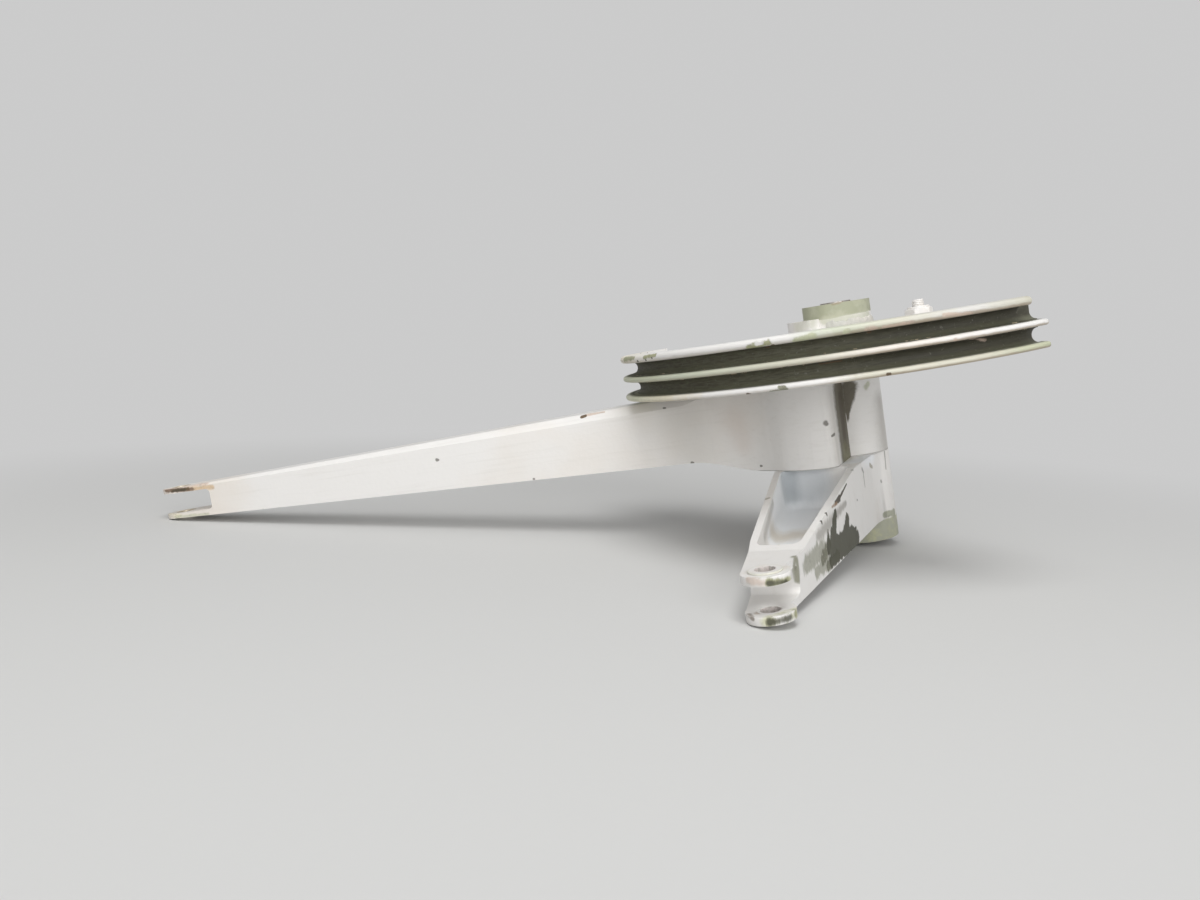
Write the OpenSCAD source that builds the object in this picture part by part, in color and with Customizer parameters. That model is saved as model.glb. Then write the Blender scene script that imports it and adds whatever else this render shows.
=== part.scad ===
// Aircraft bellcrank: two arms stacked on one ball-bearing pivot, with a two-groove cable sector on top.
// Millimetres, +Z up along the pivot axis, origin on that axis at the lower bearing boss face.
// The long arm points along -X.

/* [Pivot hub] */
// Outside diameter of the hub
hub_d = 28.6; // [27.6:0.1:34]
// Bore of the hub between the bearing seats
hub_bore_d = 18; // [16:0.1:20]
// Height of the boss under the short arm
low_boss_h = 9; // [8.5:0.1:14]
// Height of the short arm at the hub
short_hub_h = 29; // [26:0.5:34]
// Height of the long arm at the hub
long_hub_h = 37.9; // [34:0.1:44]
// Height of the boss over the sector rim
top_boss_h = 8.5; // [7.5:0.1:14]

/* [Pivot bearings] */
// Bore of the inner rings and their spacer
pivot_d = 9.525; // [8.5:0.005:10]
// Outside diameter of the outer rings
bearing_d = 22.225; // [22:0.005:23]
// Width of a bearing
bearing_w = 7.142; // [6.6:0.002:8]
// Diameter of a ball
ball_d = 3.969; // [3.5:0.001:4.1]
// Balls in a bearing
ball_count = 7; // [6:1:8]
// Thickness of the inner ring under the ball groove shoulder
inner_ring_t = 2.1; // [1.8:0.05:2.3]
// Thickness of the outer ring over the ball groove shoulder
outer_ring_t = 2.1; // [1.8:0.05:2.3]
// Running clearance between balls and grooves
race_play = 0.04; // [0.02:0.01:0.08]
// Thickness of a bearing shield
shield_t = 0.4; // [0.3:0.05:0.6]
// Gap between a shield and the inner ring
shield_gap = 0.3; // [0.2:0.05:0.5]
// Width of the ball cage band
cage_w = 5.2; // [4.8:0.1:5.6]
// Thickness of the ball cage band
cage_t = 0.7; // [0.5:0.1:1]
// Outside diameter of the spacer between the inner rings
spacer_d = 12.7; // [11.7:0.1:13.4]
// Height of the inner ring faces past the hub faces
inner_proud = 0.6; // [0.2:0.1:1]

/* [Long arm] */
// Pivot to fork hole
long_len = 310.5; // [260:0.5:380]
// Width of the arm at the hub
long_root_w = 25; // [20:0.5:27]
// Height of the arm at the fork
fork_h = 13.9; // [13.4:0.1:17]
// Height of the fork middle over the arm's lower hub face
fork_mid_z = 21.7; // [18:0.1:24]
// Start of the taper from the pivot
taper_x = 40; // [39:1:48]
// Height of the seat under the sector over the arm's top
seat_step = 1.2; // [0.6:0.1:2]
// Far end of the step down to the lower hub face
step_x = 72; // [64:1:84]
// Depth of the arm under its taper line at the step
step_z = 5.5; // [3:0.1:9]
// Drop of the bevel along the top edges at the hub
bevel_root = 4.2; // [1.5:0.1:4.5]
// Drop of the bevel along the top edges at the fork
bevel_tip = 1.1; // [0.4:0.1:1.4]

/* [Lobe over the short arm] */
// Radius of the lobe
lobe_r = 31; // [28:0.5:34]
// Lobe centre along the short arm
lobe_u = 10.5; // [8:0.5:13]
// Lobe centre across the short arm
lobe_v = -7.5; // [-10:0.5:-5]
// Lobe side wall across the short arm
lobe_side_v = 1.5; // [1:0.1:4]
// Radius of the lobe's corner beside the hub
lobe_corner_r = 4; // [2:0.1:6]
// Radius of the fillet between lobe and arm
flare_r = 38; // [30:1:46]

/* [Short arm] */
// Angle from the long arm to the short arm
arm_angle = 69; // [60:0.2:80]
// Pivot to clevis hole
short_len = 144; // [130:0.5:170]
// Height of the arm at the clevis
clevis_h = 15.3; // [14.3:0.1:18]
// Half width of the root on the flared side
root_left = 30.3; // [28:0.1:32]
// Half width of the root on the straight side
root_right = 10.6; // [9.5:0.1:12]
// Half width of the neck on the flared side
neck_left = 15.6; // [14:0.1:17]
// Neck to clevis hole
neck_len = 35; // [32:0.5:40]
// Half width of the tip on the straight side
tip_right = 4.4; // [4:0.1:6]
// Radius of the fillet between the straight side and the hub
root_fillet_r = 45; // [36:1:60]
// Start of the slope of the top face
slope_start = 42; // [40:1:48]
// Length of the flat behind the clevis hole
clevis_flat = 26; // [24:0.5:32]
// Thickness of the pocket walls
pocket_wall = 2.8; // [2.4:0.1:4]
// Thickness under the pocket at its root end
floor_root = 12.5; // [6:0.5:14]
// Thickness under the pocket at its clevis end
floor_end = 8; // [4:0.5:10]
// Root end of the pocket from the pivot
pocket_start = 37; // [36:0.5:42]
// Metal between the pocket and the clevis slot root
pocket_end_wall = 13; // [8:0.5:18]
// Corner radius of the pocket
pocket_r = 3.5; // [1.5:0.1:4]

/* [Fork and clevis] */
// Gap between the ears
ear_gap = 9.6; // [8:0.05:11]
// Corner radius at the slot root
slot_r = 2; // [1:0.1:3]
// Radius of the ears
ear_r = 8; // [7.5:0.1:10]
// Ear hole centre to the slot root
slot_depth = 17.5; // [14:0.1:19]
// Bolt bore of the ear bushes
ear_bore = 6.35; // [4.7:0.01:6.6]
// Outside diameter of the ear bushes
bush_d = 8.7; // [8.4:0.1:9.4]
// Diameter of the clevis bush flange
bush_flange_d = 11.2; // [10.4:0.1:12.4]
// Thickness of the clevis bush flange
bush_flange_t = 0.7; // [0.5:0.05:1]

/* [Cable sector] */
// Outside diameter of the sector
sector_d = 191.6; // [180:0.2:210]
// Height of the rim
rim_h = 19.1; // [18:0.1:24]
// Angle that the rim covers
sector_angle = 157; // [140:1:176]
// Angle from the long arm to the middle of the rim
sector_middle = 51.7; // [40:0.1:60]
// Depth of a cable groove
groove_depth = 7; // [5:0.1:8]
// Edge thickness of the middle and bottom flanges
flange_t = 2.2; // [1.8:0.1:2.6]
// Edge thickness of the top flange
top_flange_t = 3; // [2:0.1:3.4]
// Growth of a flange from its edge to its root
flange_taper = 1; // [0.6:0.1:1.2]
// Angle by which the top flange is cut back at one end
top_flange_cut = 5; // [3:0.5:10]
// Metal behind the groove roots
rim_wall = 4; // [3:0.1:6]
// Thickness of the web
web_t = 5; // [4:0.1:6.5]
// Depth of the web under the rim top
web_drop = 3; // [2:0.1:4]
// Radius of the pad round the boss
pad_r = 21.4; // [20:0.1:23]
// Height of the pad over the rim top
pad_h = 3; // [2:0.1:5]
// Angle from the long arm to the end of the pad
pad_end = 50; // [40:1:80]
// Angle that the pad covers
pad_sweep = 110; // [80:1:120]
// Radial fit of the sector on the hub
pilot_play = 0.05; // [0.02:0.01:0.1]

/* [Fasteners] */
// Distance of the joint bolts from the pivot
joint_r = 28.8; // [28.2:0.1:29.4]
// Angle of the first joint bolt from the short arm
joint_angle = 9; // [8:0.5:11]
// Angle between the joint bolts
joint_spread = 37; // [36.5:0.5:39]
// Distance of the sector screws from the pivot
screw_r = 34; // [33.8:0.1:34.4]
// Angle between the sector screws, the first being on the long arm
screw_spread = 41.5; // [41:0.5:42]
// Bolt and screw diameter
bolt_d = 4.8; // [4:0.05:5]
// Width of a head or nut across its flats
hex_w = 9.5; // [8.5:0.05:9.8]
// Height of a bolt head
head_h = 3.2; // [2.5:0.1:4]
// Height of a nut
nut_h = 4.4; // [3.8:0.1:4.8]
// Height of the nut's round locking collar
nut_collar_h = 0.7; // [0.4:0.1:1.2]
// Diameter of the nut's locking collar
nut_collar_d = 8.4; // [7.4:0.1:8.4]
// Diameter of a washer
washer_d = 10.6; // [10.2:0.1:11]
// Thickness of a washer
washer_t = 0.8; // [0.6:0.1:1]
// Bolt length past the nut
bolt_past = 2.6; // [1.8:0.1:2.8]
// Radial clearance of the bolt holes
bolt_play = 0.15; // [0.1:0.05:0.3]
// Diameter of a flush screw head
screw_head_d = 9; // [8.4:0.1:9.6]
// Thread depth of a flush screw
screw_grip = 12; // [9:0.5:16]
// Diameter of the sector's screw pillars
pillar_d = 10.4; // [10:0.1:10.8]
// Anchor bolt distance from the pivot
anchor_r = 48; // [40:0.5:60]
// Anchor bolt angle from the rim end
anchor_angle = 8.5; // [8:0.5:20]

/* [Hidden] */
$fn = 64;
eps = 0.02;
blend_sink = 0.1; // depth by which a blend sinks into the faces that it joins
far = 2 * sector_d;

short_z = low_boss_h;
seam_z = short_z + short_hub_h;
sector_z = seam_z + long_hub_h;
rim_top = sector_z + rim_h;
hub_top = rim_top + top_boss_h;

long_dir = 180;
short_dir = arm_angle - long_dir;
ear_pad = 2 * ear_r;

pitch_r = (pivot_d + bearing_d) / 4;
inner_ring_r = pivot_d / 2 + inner_ring_t;
outer_ring_r = bearing_d / 2 - outer_ring_t;
race_r = ball_d / 2 + race_play;

taper_top = sector_z - seat_step;
fork_z = seam_z + fork_mid_z;
fork_ear = (fork_h - ear_gap) / 2;
clevis_ear = (clevis_h - ear_gap) / 2;
clevis_top = short_z + clevis_h;
slope_end = short_len - clevis_flat;
neck_u = short_len - neck_len;
slot_u = short_len - slot_depth;

sector_r = sector_d / 2;
root_r = sector_r - groove_depth;
web_top = rim_top - web_drop;
web_z = web_top - web_t;
mid_root_t = flange_t + flange_taper;
groove_w = (rim_h - flange_t - top_flange_t - mid_root_t) / 2;
mid_flange_z = flange_t + groove_w + mid_root_t / 2;
sector_dir = long_dir + sector_middle;
sector_end = sector_dir + sector_angle / 2;

bolt_hole_d = bolt_d + 2 * bolt_play;
anchor_dir = sector_end - anchor_angle;

// Helpers

function polar(r, a) = [r * cos(a), r * sin(a)];
function smooth(t) = t * t * (3 - 2 * t);
function mix(a, b, t) = a + (b - a) * t;

module along_short() {
    rotate(short_dir) children();
}

module joint_places() {
    for (a = [joint_angle, joint_angle + joint_spread])
        rotate(short_dir - a) translate([joint_r, 0, 0]) children();
}

module screw_places() {
    for (a = [0, screw_spread]) rotate(long_dir + a) translate([screw_r, 0, 0]) children();
}

module anchor_place() {
    rotate(anchor_dir) translate([anchor_r, 0, 0]) children();
}

module ring(r_out, r_in, h) {
    difference() {
        cylinder(r = r_out, h = h);
        translate([0, 0, -eps]) cylinder(r = r_in, h = h + 2 * eps);
    }
}

module hexagon(w, h) {
    cylinder(d = w / cos(30), h = h, $fn = 6);
}

module wedge(dir, angle, r) {
    polygon([[0, 0], polar(r, dir - angle / 2), polar(r, dir - angle / 4), polar(r, dir),
        polar(r, dir + angle / 4), polar(r, dir + angle / 2)]);
}

// A slot across an ear, open at its far end, with round corners at its root.
module ear_slot(root_u, mid_z, length) {
    half_gap = ear_gap / 2;
    translate([root_u + slot_r, 0, mid_z]) {
        translate([0, -far / 2, -half_gap]) cube([length, far, ear_gap]);
        for (s = [-1, 1])
            translate([0, far / 2, s * (half_gap - slot_r)]) rotate([90, 0, 0])
                cylinder(r = slot_r, h = far);
        translate([-slot_r, -far / 2, slot_r - half_gap]) cube([2 * slot_r, far, ear_gap - 2 * slot_r]);
    }
}

// Long arm

function long_half_w(x) = mix(long_root_w / 2, ear_r, -x / long_len);
function fork_bottom() = fork_z - fork_h / 2;
function fork_top() = fork_z + fork_h / 2;

// A round lobe cut by a flat side, with the corner between them rounded.
module lobe_outline() {
    corner_v = lobe_side_v - lobe_corner_r;
    corner_u = lobe_u + sqrt(pow(lobe_r - lobe_corner_r, 2) - pow(corner_v - lobe_v, 2));
    outward = atan2(corner_v - lobe_v, corner_u - lobe_u);
    along_short() {
        difference() {
            translate([lobe_u, lobe_v]) circle(r = lobe_r, $fn = 128);
            translate([-far, lobe_side_v]) square([2 * far, far]);
            translate([corner_u, corner_v])
                polygon([[0, 0], polar(lobe_r, outward), [lobe_r, lobe_r], [0, lobe_r]]);
        }
        translate([corner_u, corner_v]) circle(r = lobe_corner_r);
    }
}

// The concave sweep that blends the front of the arm into the lobe.
module flare_outline() {
    lobe_x = lobe_u * cos(short_dir) - lobe_v * sin(short_dir);
    lobe_y = lobe_u * sin(short_dir) + lobe_v * cos(short_dir);
    front_y = -long_half_w(-step_x);
    mid_y = front_y - flare_r;
    mid_x = lobe_x - sqrt(pow(lobe_r + flare_r, 2) - pow(lobe_y - mid_y, 2));
    touch = [lobe_x, lobe_y] + lobe_r / (lobe_r + flare_r) * [mid_x - lobe_x, mid_y - lobe_y];
    difference() {
        polygon([[mid_x, front_y], [mid_x, 0], [lobe_x, 0], [lobe_x, lobe_y], touch, [mid_x, touch[1]]]);
        translate([mid_x, mid_y]) circle(r = flare_r, $fn = 128);
    }
}

module long_outline() {
    polygon([[0, long_half_w(0)], [-long_len, ear_r], [-long_len, -ear_r], [0, -long_half_w(0)]]);
    translate([-long_len, 0]) circle(r = ear_r);
    circle(d = hub_d);
    lobe_outline();
    flare_outline();
}

// Side view: a seat for the sector, straight tapers, and a smooth step down to the lower hub face.
module long_profile() {
    steps = 12;
    tip_x = -long_len - ear_pad;
    hub_x = hub_d;
    step_top = mix(seam_z + step_z, fork_bottom(), (step_x - taper_x) / (long_len - taper_x));
    step_points = [for (i = [0:steps]) let (t = i / steps)
        [mix(-step_x, -taper_x, t), mix(step_top, seam_z, smooth(t))]];
    polygon(concat(
        [[hub_x, sector_z], [-taper_x, sector_z], [-taper_x, taper_top], [-long_len, fork_top()],
            [tip_x, fork_top()], [tip_x, fork_bottom()], [-long_len, fork_bottom()]],
        step_points, [[hub_x, seam_z]]));
}

module top_bevels() {
    start_x = -taper_x;
    end_x = -long_len - ear_pad;
    start_w = long_half_w(start_x);
    for (s = [-1, 1])
        hull() {
            bevel_section(start_x, s, start_w, taper_top, bevel_root);
            bevel_section(end_x, s, ear_r, fork_top(), bevel_tip);
        }
}

module bevel_section(x, side, half_w, top, drop) {
    translate([x, side * half_w, top])
        mirror([0, side < 0 ? 1 : 0, 0])
            rotate([90, 0, -90])
                linear_extrude(eps) polygon([[drop, drop], [-drop, drop], [drop, -drop]]);
}

module long_arm() {
    color("white")
        difference() {
            union() {
                intersection() {
                    translate([0, 0, seam_z]) linear_extrude(long_hub_h) long_outline();
                    rotate([90, 0, 0]) translate([0, 0, -far / 2]) linear_extrude(far) long_profile();
                }
                translate([0, 0, seam_z]) cylinder(d = hub_d, h = hub_top - seam_z);
            }
            top_bevels();
            translate([0, 0, seam_z - eps]) cylinder(d = hub_bore_d, h = hub_top);
            translate([0, 0, hub_top - bearing_w]) cylinder(d = bearing_d, h = bearing_w + eps);
            mirror([1, 0, 0]) ear_slot(long_len - slot_depth, fork_z, far);
            translate([-long_len, 0, seam_z]) cylinder(d = bush_d, h = long_hub_h);
            joint_places() translate([0, 0, seam_z - eps])
                cylinder(d = bolt_hole_d, h = long_hub_h + 2 * eps);
            screw_places() translate([0, 0, sector_z - screw_grip])
                cylinder(d = bolt_d, h = screw_grip + eps);
        }
}

// Short arm

function short_left(u) = mix(root_left, neck_left, u / neck_u);
function short_right(u) = mix(root_right, tip_right, u / short_len);

// The concave sweep that blends the straight side into the hub.
module root_fillet_outline() {
    lean = atan2(root_right - tip_right, short_len);
    mid_v = root_right * cos(lean) + root_fillet_r;
    mid_u = sqrt(pow(hub_d / 2 + root_fillet_r, 2) - pow(mid_v, 2));
    rotate(-lean)
        difference() {
            polygon([[0, 0], [mid_u, 0], [mid_u, mid_v]]);
            translate([mid_u, mid_v]) circle(r = root_fillet_r + blend_sink, $fn = 128);
        }
}

module short_outline() {
    root_u = lobe_u;
    polygon([[0, short_right(0)], [short_len, short_right(short_len)], [short_len, -ear_r],
        [neck_u, -neck_left], [root_u, -short_left(root_u)], [root_u - hub_d / 2, -hub_d / 2], [0, 0]]);
    translate([short_len, 0]) circle(r = ear_r);
    circle(d = hub_d);
    root_fillet_outline();
}

module short_profile() {
    tip_u = short_len + ear_pad;
    polygon([[-hub_d, short_z], [tip_u, short_z], [tip_u, clevis_top], [slope_end, clevis_top],
        [slope_start, seam_z], [-hub_d, seam_z]]);
}

// A pocket with round corners and edges, and a floor that falls towards the clevis.
module pocket() {
    end_u = slot_u - pocket_end_wall;
    inset = pocket_wall + pocket_r;
    hull()
        for (end = [[pocket_start + pocket_r, floor_root], [end_u - pocket_r, floor_end]])
            for (v = [short_right(end[0]) - inset, inset - short_left(end[0])])
                translate([end[0], v, 0]) {
                    translate([0, 0, short_z + end[1] + pocket_r]) sphere(r = pocket_r, $fn = 32);
                    translate([0, 0, seam_z]) cylinder(r = pocket_r, h = eps, $fn = 32);
                }
}

module short_arm() {
    color("white")
        difference() {
            union() {
                along_short()
                    intersection() {
                        translate([0, 0, short_z]) linear_extrude(short_hub_h) short_outline();
                        rotate([90, 0, 0]) translate([0, 0, -far / 2]) linear_extrude(far) short_profile();
                    }
                cylinder(d = hub_d, h = seam_z);
            }
            translate([0, 0, -eps]) cylinder(d = bearing_d, h = bearing_w + eps);
            translate([0, 0, -eps]) cylinder(d = hub_bore_d, h = seam_z + 2 * eps);
            along_short() {
                pocket();
                ear_slot(slot_u, short_z + clevis_h / 2, far);
                translate([short_len, 0, 0]) cylinder(d = bush_d, h = seam_z);
            }
            joint_places() cylinder(d = bolt_hole_d, h = seam_z + eps);
        }
}

// Cable sector

module flange(z, tip_t) {
    half_tip = tip_t / 2;
    half_root = half_tip + flange_taper / 2;
    tip_r = sector_r - half_tip;
    polygon([[root_r - eps, z - half_root], [tip_r, z - half_tip], [tip_r, z + half_tip],
        [root_r - eps, z + half_root]]);
    translate([tip_r, z]) circle(r = half_tip, $fn = 32);
}

// Cross section of the rim: three round-edged flanges with two round-bottomed grooves between them.
module rim_profile() {
    low_groove_z = flange_t + groove_w / 2;
    high_groove_z = rim_h - top_flange_t - groove_w / 2;
    difference() {
        union() {
            translate([root_r - rim_wall, 0]) square([rim_wall + groove_w / 2, rim_h]);
            intersection() {
                union() {
                    flange(flange_t / 2, flange_t);
                    flange(mid_flange_z, flange_t);
                    flange(rim_h - top_flange_t / 2, top_flange_t);
                }
                translate([root_r - rim_wall, 0]) square([groove_depth + rim_wall, rim_h]);
            }
        }
        for (z = [low_groove_z, high_groove_z])
            translate([root_r + groove_w / 2, z]) circle(d = groove_w, $fn = 48);
    }
}

module sector_wedge(angle) {
    linear_extrude(far, center = true) wedge(sector_dir, angle, far / 2);
}

module cable_sector() {
    bore_r = hub_d / 2 + pilot_play;
    color("ivory")
        difference() {
            union() {
                intersection() {
                    union() {
                        translate([0, 0, sector_z]) rotate_extrude($fn = 160) rim_profile();
                        translate([0, 0, web_z]) cylinder(r = root_r - rim_wall / 2, h = web_t, $fn = 160);
                        intersection() {
                            translate([0, 0, web_z]) cylinder(r = pad_r, h = rim_top + pad_h - web_z);
                            linear_extrude(far)
                                wedge(long_dir + pad_end - pad_sweep / 2, pad_sweep, far / 2);
                        }
                    }
                    sector_wedge(sector_angle);
                }
                translate([0, 0, sector_z]) cylinder(r = pad_r, h = web_top - sector_z);
                screw_places() translate([0, 0, sector_z]) cylinder(d = pillar_d, h = web_top - sector_z);
            }
            translate([0, 0, sector_z - eps]) cylinder(r = bore_r, h = hub_top);
            top_flange_end();
            screw_places() screw_hole();
            anchor_place() cylinder(d = bolt_hole_d, h = hub_top);
        }
}

// The top flange stops short of the other two at the rim end beside the anchor bolt.
module top_flange_end() {
    translate([0, 0, rim_top - top_flange_t - groove_w / 2])
        difference() {
            linear_extrude(far) wedge(sector_end, 2 * top_flange_cut, far / 2);
            translate([0, 0, -eps]) cylinder(r = root_r, h = far + 2 * eps, $fn = 160);
        }
}

module screw_hole() {
    translate([0, 0, sector_z - eps]) cylinder(d = bolt_hole_d, h = rim_h);
    translate([0, 0, web_top]) screw_cone(bolt_play);
}

module screw_cone(play) {
    sink_h = (screw_head_d - bolt_d) / 2;
    translate([0, 0, -sink_h]) cylinder(d1 = bolt_d + 2 * play, d2 = screw_head_d + 2 * play, h = sink_h);
    if (play > 0) translate([0, 0, -eps]) cylinder(d = screw_head_d + 2 * play, h = web_drop);
}

// Bearings

module race(z) {
    translate([0, 0, z]) rotate_extrude() translate([pitch_r, 0]) circle(r = race_r, $fn = 48);
}

module outer_ring(z) {
    color("silver")
        translate([0, 0, z])
            difference() {
                ring(bearing_d / 2, outer_ring_r, bearing_w);
                race(bearing_w / 2);
                for (s = [0, bearing_w - shield_t]) translate([0, 0, s - eps])
                    cylinder(r = outer_ring_r + shield_t, h = shield_t + 2 * eps);
            }
}

// An inner ring stands proud of the hub by a step on its outer side.
module inner_ring(z, proud_z) {
    color("silver")
        difference() {
            union() {
                translate([0, 0, z]) ring(inner_ring_r, pivot_d / 2, bearing_w);
                translate([0, 0, proud_z])
                    ring(inner_ring_r - shield_t, pivot_d / 2, inner_proud + shield_t);
            }
            race(z + bearing_w / 2);
        }
}

module balls(z) {
    color("gainsboro")
        for (i = [1:ball_count]) rotate(360 * i / ball_count) translate([pitch_r, 0, z + bearing_w / 2])
            sphere(d = ball_d, $fn = 32);
}

module cage(z) {
    color("goldenrod")
        translate([0, 0, z + bearing_w / 2])
            difference() {
                translate([0, 0, -cage_w / 2]) ring(pitch_r + cage_t / 2, pitch_r - cage_t / 2, cage_w);
                for (i = [1:ball_count]) rotate(360 * i / ball_count)
                    rotate([0, 90, 0]) cylinder(r = race_r, h = bearing_d / 2);
            }
}

module shields(z) {
    color("gray")
        for (s = [0, bearing_w - shield_t]) translate([0, 0, z + s])
            ring(outer_ring_r + shield_t, inner_ring_r + shield_gap, shield_t);
}

module upper_outer_ring() { outer_ring(hub_top - bearing_w); }
module upper_inner_ring() { inner_ring(hub_top - bearing_w, hub_top - shield_t); }
module upper_balls() { balls(hub_top - bearing_w); }
module upper_cage() { cage(hub_top - bearing_w); }
module upper_shields() { shields(hub_top - bearing_w); }
module lower_outer_ring() { outer_ring(0); }
module lower_inner_ring() { inner_ring(0, -inner_proud); }
module lower_balls() { balls(0); }
module lower_cage() { cage(0); }
module lower_shields() { shields(0); }

module pivot_spacer() {
    color("silver")
        translate([0, 0, bearing_w]) ring(spacer_d / 2, pivot_d / 2, hub_top - 2 * bearing_w);
}

// Ear bushes

module fork_bushes() {
    color("peru")
        for (z = [fork_bottom(), fork_top() - fork_ear]) translate([-long_len, 0, z])
            ring(bush_d / 2, ear_bore / 2, fork_ear);
}

module clevis_bush() {
    ring(bush_d / 2, ear_bore / 2, clevis_ear);
    translate([0, 0, -bush_flange_t]) ring(bush_flange_d / 2, ear_bore / 2, bush_flange_t);
}

module clevis_bushes() {
    color("peru")
        along_short() translate([short_len, 0, short_z + clevis_h / 2])
            for (s = [0, 1]) mirror([0, 0, s]) translate([0, 0, -clevis_h / 2]) clevis_bush();
}

// Fasteners

module hex_bolt(grip) {
    cylinder(d = bolt_d, h = grip);
    translate([0, 0, grip]) hexagon(hex_w, head_h);
}

module washer() {
    ring(washer_d / 2, bolt_hole_d / 2, washer_t);
}

module lock_nut() {
    difference() {
        union() {
            hexagon(hex_w, nut_h - nut_collar_h);
            cylinder(d = nut_collar_d, h = nut_h);
        }
        translate([0, 0, -eps]) cylinder(d = bolt_d, h = nut_h + 2 * eps);
    }
}

module joint_bolts() {
    below = washer_t + nut_h + bolt_past;
    color("silver")
        joint_places() translate([0, 0, short_z - below]) hex_bolt(sector_z + washer_t - short_z + below);
}

module joint_washers() {
    color("silver")
        joint_places() for (z = [short_z - washer_t, sector_z]) translate([0, 0, z]) washer();
}

module joint_nuts() {
    color("silver")
        joint_places() translate([0, 0, short_z - washer_t]) mirror([0, 0, 1]) lock_nut();
}

module sector_screws() {
    color("silver")
        screw_places() {
            translate([0, 0, sector_z - screw_grip])
                cylinder(d = bolt_d, h = web_top - sector_z + screw_grip);
            translate([0, 0, web_top]) screw_cone(0);
        }
}

module anchor_bolt() {
    length = web_t + 2 * washer_t + nut_h + bolt_past;
    color("silver")
        anchor_place() translate([0, 0, web_z - washer_t + length]) mirror([0, 0, 1]) hex_bolt(length);
}

module anchor_washers() {
    color("silver") anchor_place() for (z = [web_z - washer_t, web_top]) translate([0, 0, z]) washer();
}

module anchor_nut() {
    color("white") anchor_place() translate([0, 0, web_top + washer_t]) lock_nut();
}

long_arm();
short_arm();
cable_sector();
upper_outer_ring();
upper_inner_ring();
upper_balls();
upper_cage();
upper_shields();
lower_outer_ring();
lower_inner_ring();
lower_balls();
lower_cage();
lower_shields();
pivot_spacer();
fork_bushes();
clevis_bushes();
joint_bolts();
joint_washers();
joint_nuts();
sector_screws();
anchor_bolt();
anchor_washers();
anchor_nut();
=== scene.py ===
# Looks of an aircraft bellcrank: worn white paint over green primer, lying on a pale studio floor
import bmesh
import bpy
import math
import numpy as np
from mathutils import Matrix, Vector


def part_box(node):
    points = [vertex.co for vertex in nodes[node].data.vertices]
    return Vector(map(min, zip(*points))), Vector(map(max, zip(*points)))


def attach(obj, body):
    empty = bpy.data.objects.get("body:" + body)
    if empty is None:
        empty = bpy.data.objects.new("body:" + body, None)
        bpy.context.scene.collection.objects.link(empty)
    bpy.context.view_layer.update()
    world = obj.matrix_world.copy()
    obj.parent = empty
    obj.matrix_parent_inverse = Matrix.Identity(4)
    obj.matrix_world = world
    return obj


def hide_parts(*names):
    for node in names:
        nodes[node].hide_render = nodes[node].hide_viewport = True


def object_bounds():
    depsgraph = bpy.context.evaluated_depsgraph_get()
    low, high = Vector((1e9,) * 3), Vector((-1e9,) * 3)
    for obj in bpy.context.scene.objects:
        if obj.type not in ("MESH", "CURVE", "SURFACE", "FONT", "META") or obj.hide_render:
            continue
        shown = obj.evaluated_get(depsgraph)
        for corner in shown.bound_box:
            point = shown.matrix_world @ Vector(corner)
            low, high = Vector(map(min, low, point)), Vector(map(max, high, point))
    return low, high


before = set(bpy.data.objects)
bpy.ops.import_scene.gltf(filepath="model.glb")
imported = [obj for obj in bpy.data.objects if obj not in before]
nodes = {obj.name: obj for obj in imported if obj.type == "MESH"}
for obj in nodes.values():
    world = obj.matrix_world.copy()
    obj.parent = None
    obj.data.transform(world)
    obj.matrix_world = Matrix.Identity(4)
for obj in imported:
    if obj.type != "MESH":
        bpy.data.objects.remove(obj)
cadLow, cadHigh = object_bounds()
shapes = dict(nodes)  # what is seen of each node
scene = bpy.context.scene
mm = 0.001
print("frame loaded:", len(nodes), "nodes")


def addObject(name, data):
    made = bpy.data.objects.new(name, data)
    scene.collection.objects.link(made)
    return made


def nodeBox(node):
    # a node's lowest and highest corners, in millimetres
    low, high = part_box(node)
    return Vector(low) / mm, Vector(high) / mm


# places that several finishes share, read from the solids
forkTip = nodeBox("long_arm")[0].x
seamHeight = nodeBox("long_arm")[0].z
hubRadius = nodeBox("long_arm")[1].x
sectorRadius = -nodeBox("cable_sector")[0].x
sectorLow = nodeBox("cable_sector")[0].z
webTop = nodeBox("sector_screws")[1].z

# camera: where the photograph was taken from, in the bellcrank's own axes
cameraSet = {
    "place": (-64.3, -433.4, 101.1),  # millimetres
    "yaw": 6.2, "pitch": -6.04, "roll": -8.97,  # degrees, from looking level along +Y
    "lens": 29.13, "sensor": 36.0,
    "horizon": 338.0,  # pixel row of the horizon, which gives the level direction
    "photoSize": (1200, 900),
    "clip": (0.01, 60.0),  # metres
    "search": (0.25, 0.6, 80),  # metres along a ray between which a near miss is looked for, and tries
}


def aimCamera():
    yaw, pitch, roll = (math.radians(cameraSet[key]) for key in ("yaw", "pitch", "roll"))
    level = Matrix.Rotation(math.pi / 2 + pitch, 3, "X")
    turn = Matrix.Rotation(yaw, 3, "Z") @ level @ Matrix.Rotation(roll, 3, "Z")
    data = bpy.data.cameras.new("photoCamera")
    data.lens = cameraSet["lens"]
    data.sensor_width = cameraSet["sensor"]
    data.clip_start, data.clip_end = cameraSet["clip"]
    camera = addObject("photoCamera", data)
    camera.matrix_world = Matrix.Translation(Vector(cameraSet["place"]) * mm) @ turn.to_4x4()
    scene.camera = camera
    bpy.context.view_layer.update()
    return camera


camera = aimCamera()
cameraTurn = camera.matrix_world.to_3x3()
focalPixels = cameraSet["photoSize"][0] * cameraSet["lens"] / cameraSet["sensor"]


def photoRay(pixel):
    # the direction from the camera through one pixel of the photograph
    wide, high = cameraSet["photoSize"]
    return (cameraTurn @ Vector((pixel[0] - wide / 2, high / 2 - pixel[1], -focalPixels))).normalized()


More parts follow.
